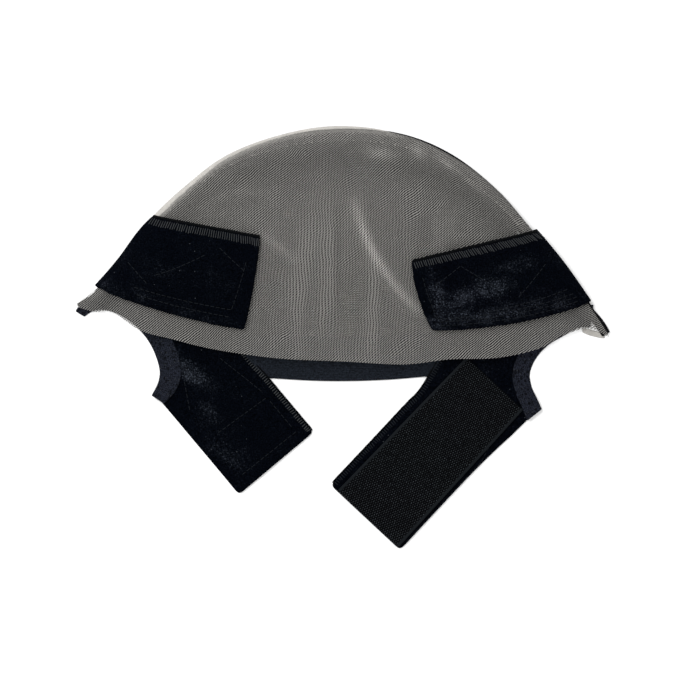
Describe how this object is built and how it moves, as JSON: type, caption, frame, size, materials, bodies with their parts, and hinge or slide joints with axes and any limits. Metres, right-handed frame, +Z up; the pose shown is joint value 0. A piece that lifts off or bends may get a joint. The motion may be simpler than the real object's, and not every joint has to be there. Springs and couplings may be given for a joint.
{
  "type": "wig cap",
  "caption": "Lace wig cap with velvet temple patches, bound ear curves, a knit nape band and velvet straps with hook tape, lying flat.",
  "frame": {"origin": "on the surface it lies on, under the middle of its bounding box", "axes": "+X across the cap from the left ear tab to the right one, +Y towards the crown, +Z up from the surface"},
  "size_m": [0.32, 0.2524, 0.026],
  "materials": {
    "net": "fine stretch net, dark brown grey, with open meshes",
    "clear_elastic": "milky clear elastic tape, slightly glossy",
    "velvet": "black stretch velvet with a short pile and a soft sheen",
    "knit": "smooth black knit tape, matt",
    "hook": "black nylon hook tape with rows of fine hooks and woven edges"
  },
  "bodies": {
    "root": {"front_lace": "net", "clear_tape": "clear_elastic", "crown_binding": "knit", "back_lace": "net", "temple_patch_left": "velvet", "temple_patch_right": "velvet", "velvet_band_left": "velvet", "velvet_band_right": "velvet", "ear_binding_left": "knit", "ear_binding_right": "knit", "nape_band": "knit", "hook_tape": "hook"}
  },
  "joints": []
}
